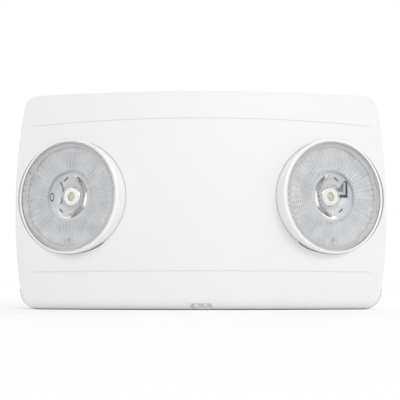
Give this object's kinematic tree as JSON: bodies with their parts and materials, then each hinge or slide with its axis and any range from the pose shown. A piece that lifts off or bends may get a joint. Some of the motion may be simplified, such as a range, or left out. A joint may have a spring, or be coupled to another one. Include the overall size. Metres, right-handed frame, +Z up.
{
  "type": "emergency exit light",
  "caption": "Wall-mounted LED emergency light: a bowed white housing with round lamp heads that swivel in its front, and a test button and charge indicator on the lower edge.",
  "frame": {"origin": "middle of the back plate's wall face", "axes": "+X to the right seen from the front, +Y into the wall, +Z up"},
  "size_m": [0.267, 0.085, 0.153],
  "materials": {
    "white_cover": "satin moulded ABS, fine grain",
    "white_plate": "satin moulded ABS",
    "white_head": "smooth moulded polycarbonate",
    "clear_lens": "clear moulded polycarbonate with flutes",
    "white_reflector": "gloss white moulding",
    "white_board": "white solder mask",
    "yellow_phosphor": "silicone over phosphor",
    "bare_aluminium": "extruded",
    "zinc_screw": "zinc plated",
    "black_rubber": "smooth",
    "grey_felt": "pressed felt",
    "black_plastic": "satin",
    "green_board": "green solder mask",
    "iron_core": "varnished laminations and winding",
    "blue_relay": "smooth",
    "dark_sleeve": "shrink sleeve",
    "green_terminal": "satin",
    "natural_nylon": "satin",
    "battery_wrap": "shrink wrap",
    "red_lead": "flexible sheath",
    "grey_lead": "flexible sheath",
    "grey_button": "smooth",
    "clear_indicator": "diffused epoxy"
  },
  "bodies": {
    "housing": {"back_plate": "white_plate", "battery_lead": "red_lead", "battery_pack": "battery_wrap", "battery_strap": "black_plastic", "board_screws": "zinc_screw", "capacitors": "dark_sleeve", "charge_indicator": "clear_indicator", "friction_ring_left": "grey_felt", "friction_ring_right": "grey_felt", "front_cover": "white_cover", "head_lead_left": "grey_lead", "head_lead_right": "grey_lead", "lead_connectors": "natural_nylon", "main_board": "green_board", "rectifier_diodes": "black_plastic", "relay": "blue_relay", "retaining_ring_left": "white_head", "retaining_ring_right": "white_head", "ring_screws_left": "zinc_screw", "ring_screws_right": "zinc_screw", "strap_screws": "zinc_screw", "terminal_block": "green_terminal", "test_board": "green_board", "test_lead": "grey_lead", "test_switch": "black_plastic", "transformer": "iron_core"},
    "head_left": {"head_back_left": "white_head", "head_back_screws_left": "zinc_screw", "head_shell_left": "white_head", "heat_sink_left": "bare_aluminium", "heat_sink_screws_left": "zinc_screw", "lead_grommet_left": "black_rubber", "led_board_left": "white_board", "led_chip_left": "yellow_phosphor", "lens_left": "clear_lens", "reflector_left": "white_reflector"},
    "head_right": {"head_back_right": "white_head", "head_back_screws_right": "zinc_screw", "head_shell_right": "white_head", "heat_sink_right": "bare_aluminium", "heat_sink_screws_right": "zinc_screw", "lead_grommet_right": "black_rubber", "led_board_right": "white_board", "led_chip_right": "yellow_phosphor", "lens_right": "clear_lens", "reflector_right": "white_reflector"},
    "button": {"switch_plunger": "black_plastic", "test_button": "grey_button"}
  },
  "joints": [
    {"name": "head_left_swivel", "type": "hinge", "parent": "housing", "child": "head_left", "pos_m": [-0.0925, -0.06193, 0.0025], "axis": [-0.2151, -0.9766, 0], "range_deg": [-170, 170]},
    {"name": "head_right_swivel", "type": "hinge", "parent": "housing", "child": "head_right", "pos_m": [0.0925, -0.06193, 0.0025], "axis": [0.2151, -0.9766, 0], "range_deg": [-170, 170]},
    {"name": "test_button_press", "type": "slide", "parent": "housing", "child": "button", "axis": [0, 0.7071, 0.7071], "range_m": [0, 0.001], "stiffness_N_per_m": 1500, "springref_m": -0.0003}
  ]
}
